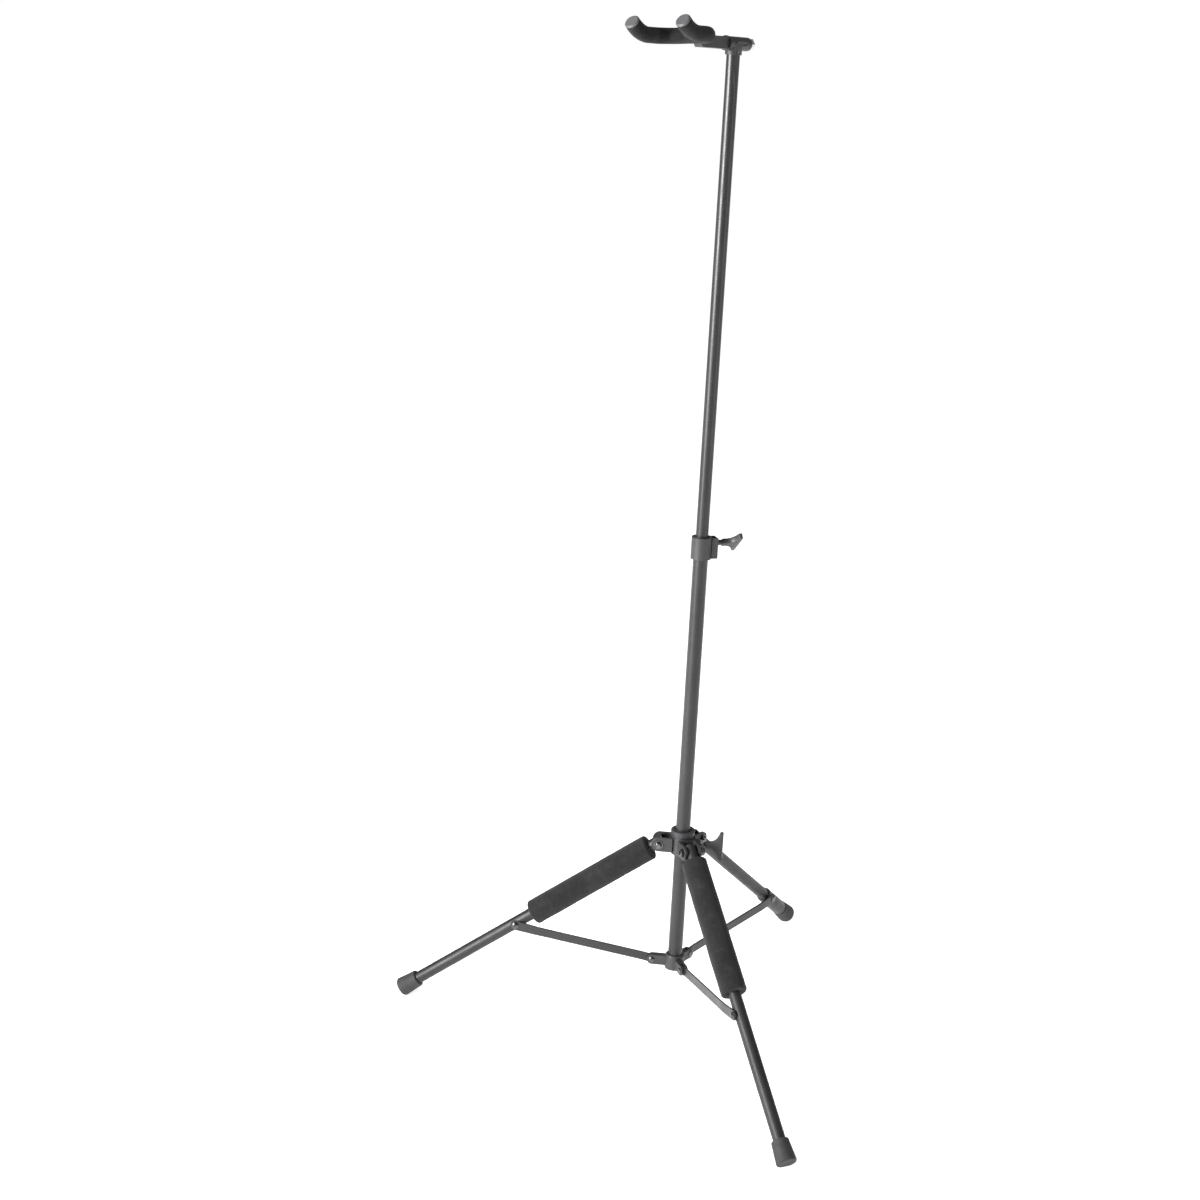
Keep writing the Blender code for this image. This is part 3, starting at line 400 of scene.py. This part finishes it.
def swept_rings(path, radius, lip, count=48):
    """Rings square to a path, narrowing over a rounded lip at each end."""
    stations = [0.0]
    for first, second in zip(path, path[1:]):
        stations.append(stations[-1] + (second - first).length)
    total = stations[-1]
    rings = []
    across = Vector((0, 0, 1))
    for i, place in enumerate(path):
        ahead = (path[min(i + 1, len(path) - 1)] - path[max(i - 1, 0)]).normalized()
        across = (across - ahead * across.dot(ahead)).normalized()
        beside = ahead.cross(across)
        edge = min(stations[i], total - stations[i])
        rings.append((place, across.copy(), beside, radius, edge))
    first, last = rings[0], rings[-1]
    body = [ring for ring in rings if ring[4] > lip]
    start = [lip_ring(first, body[0], path[0], radius, lip, t) for t in range(7)]
    stop = [lip_ring(last, body[-1], path[-1], radius, lip, t) for t in range(6, -1, -1)]
    made = []
    for place, up, beside, size, _ in start + body + stop:
        ring = []
        for i in range(count):
            angle = 2 * pi * i / count
            way = up * cos(angle) + beside * sin(angle)
            ring.append(place + way * (size + uneven(place + way * size, 90.0, YOKE_UNEVENNESS)))
        made.append(ring)
    return made


def lip_ring(end, near, tip, radius, lip, step):
    """One ring of the rounded lip, from the flat end (step 0) to the full radius (step 6)."""
    turn = pi / 2 * step / 6
    into = (near[0] - tip).normalized()
    place = tip + into * lip * (1 - cos(turn))
    return (place, end[1], end[2], radius - lip * (1 - sin(turn)), 0.0)


def cut(piece, shape, frame_matrix):
    """Cuts a shape from a piece and applies the cut to its mesh."""
    mesh = bpy.data.meshes.new("cutter")
    shape.to_mesh(mesh)
    shape.free()
    tool = bpy.data.objects.new("cutter", mesh)
    bpy.context.scene.collection.objects.link(tool)
    tool.matrix_world = frame_matrix
    modifier = piece.modifiers.new("cut", "BOOLEAN")
    modifier.object = tool
    modifier.operation = "DIFFERENCE"
    bpy.context.view_layer.update()
    made = bpy.data.meshes.new_from_object(piece.evaluated_get(bpy.context.evaluated_depsgraph_get()))
    piece.modifiers.clear()
    clean = bmesh.new()
    clean.from_mesh(made)
    bmesh.ops.remove_doubles(clean, verts=clean.verts, dist=MERGE)
    bmesh.ops.dissolve_degenerate(clean, edges=clean.edges, dist=MERGE)
    clean.to_mesh(made)
    clean.free()
    piece.data = made
    bpy.data.objects.remove(tool)


def build_yoke_foam():
    """Foam cover on the U, notched where the bar enters it from behind."""
    matrix = yoke_matrix()
    rings = [[matrix @ point for point in ring] for ring in swept_rings(yoke_path(), YOKE_FOAM_R, 0.0010)]
    shape = bmesh.new()
    skin_rings(shape, rings, False)
    piece = finish_piece("yoke_pad", shape, "foam", "yoke")
    notch = bmesh.new()
    bmesh.ops.create_cube(notch, size=1.0)
    for vertex in notch.verts:
        vertex.co.x *= 2 * YOKE_BAR_HALF
        vertex.co.y = ROD_BACK + 0.006 + (vertex.co.y + 0.5) * 0.02
        vertex.co.z = ROD_RISE + vertex.co.z * 0.0100
    cut(piece, notch, matrix)
    # The yoke pad takes the darker foam copy, which is painted shade.
    piece.data.materials[0] = YOKE_FOAM_PAINTED_SHADE
    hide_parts("yoke_foam")


def build_barrel_plaque():
    """Raised oval boss, left blank, moulded on the side of the head's barrel."""
    matrix = swivel_matrix()
    rings = []
    for out, scale in PLAQUE_STEPS:
        ring = []
        for i in range(48):
            angle = 2 * pi * i / 48
            y = PLAQUE_CENTRE + PLAQUE_HALF_LENGTH * scale * cos(angle)
            z = PLAQUE_HALF_HEIGHT * scale * sin(angle)
            drop = BARREL_R - (BARREL_R ** 2 - z ** 2) ** 0.5
            ring.append(matrix @ Vector((out - drop, y, z)))
        rings.append(ring)
    shape = bmesh.new()
    skin_rings(shape, rings, False)
    finish_piece("barrel_plaque", shape, "grey_plastic", "upper")


# --- stage, lights and camera -----------------------------------------------------

def build_surround():
    """Pale dome all round that only the camera sees, so it casts no light on the stand."""
    shape = bmesh.new()
    bmesh.ops.create_icosphere(shape, subdivisions=4, radius=SURROUND_R)
    mesh = bpy.data.meshes.new("surround")
    shape.to_mesh(mesh)
    shape.free()
    n = Nodes("surround")
    n.join(n.mix(n.spread(n.noise(0.05, 1.0), 0.0, 1.0), (0.96, 0.96, 0.96), (0.99, 0.99, 0.99)),
           n.shader.inputs["Emission Color"])
    n.set(Base_Color=(0.0, 0.0, 0.0, 1.0), Specular_IOR_Level=0.0, Emission_Strength=1.06)
    mesh.materials.append(n.material)
    dome = bpy.data.objects.new("surround", mesh)
    dome.visible_diffuse = False
    dome.visible_glossy = False
    dome.visible_transmission = False
    dome.visible_shadow = False
    bpy.context.scene.collection.objects.link(dome)


def build_stage():
    """Wide pale floor."""
    shape = bmesh.new()
    bmesh.ops.create_grid(shape, x_segments=2, y_segments=2, size=FLOOR_HALF)
    mesh = bpy.data.meshes.new("floor")
    shape.to_mesh(mesh)
    shape.free()
    n = Nodes("floor")
    n.join(n.mix(n.spread(n.noise(0.3, 1.0), 0.0, 1.0), (0.80, 0.80, 0.80), (0.82, 0.82, 0.82)),
           n.shader.inputs["Base Color"])
    n.shader.inputs["Emission Color"].default_value = (1.0, 1.0, 1.0, 1.0)
    n.set(Roughness=0.9, Specular_IOR_Level=0.1, Emission_Strength=0.79)
    mesh.materials.append(n.material)
    floor = bpy.data.objects.new("floor", mesh)
    floor.location.z = -0.0004
    bpy.context.scene.collection.objects.link(floor)


def add_light(name, place, target, size, power):
    """Rectangular soft light, size = (width, height), aimed at a point."""
    data = bpy.data.lights.new(name, "AREA")
    data.shape = "RECTANGLE"
    data.size, data.size_y = size
    data.energy = power
    light = bpy.data.objects.new(name, data)
    light.location = place
    light.rotation_euler = (Vector(target) - Vector(place)).to_track_quat("-Z", "Y").to_euler()
    bpy.context.scene.collection.objects.link(light)


def build_lights():
    """White surroundings, a strip in front, one to the right, and soft lights for legs and top."""
    world = bpy.data.worlds.new("studio")
    bpy.context.scene.world = world
    world.use_nodes = True
    world.node_tree.nodes["Background"].inputs["Color"].default_value = (1.0, 1.0, 1.0, 1.0)
    world.node_tree.nodes["Background"].inputs["Strength"].default_value = WORLD_STRENGTH
    for light in LIGHTS:
        add_light(*light)


def build_camera():
    """Camera at the reference viewing angle, with no depth of field."""
    data = bpy.data.cameras.new("camera")
    data.sensor_width = 36.0
    data.lens = CAMERA_LENS
    data.shift_x, data.shift_y = CAMERA_SHIFT
    data.clip_start = 0.05
    data.clip_end = 200.0
    camera = bpy.data.objects.new("camera", data)
    camera.location = CAMERA_PLACE
    camera.rotation_euler = (CAMERA_PITCH, 0.0, CAMERA_HEADING)
    bpy.context.scene.collection.objects.link(camera)
    bpy.context.scene.camera = camera
    bpy.context.scene.view_settings.view_transform = "Standard"


def build_scene():
    build_camera()
    for name, node in NODES.items():
        dress_node(name, node)
    for side in ("left", "right"):
        build_sleeve(side)
    build_yoke_foam()
    build_barrel_plaque()
    build_surround()
    build_stage()
    build_lights()


build_scene()
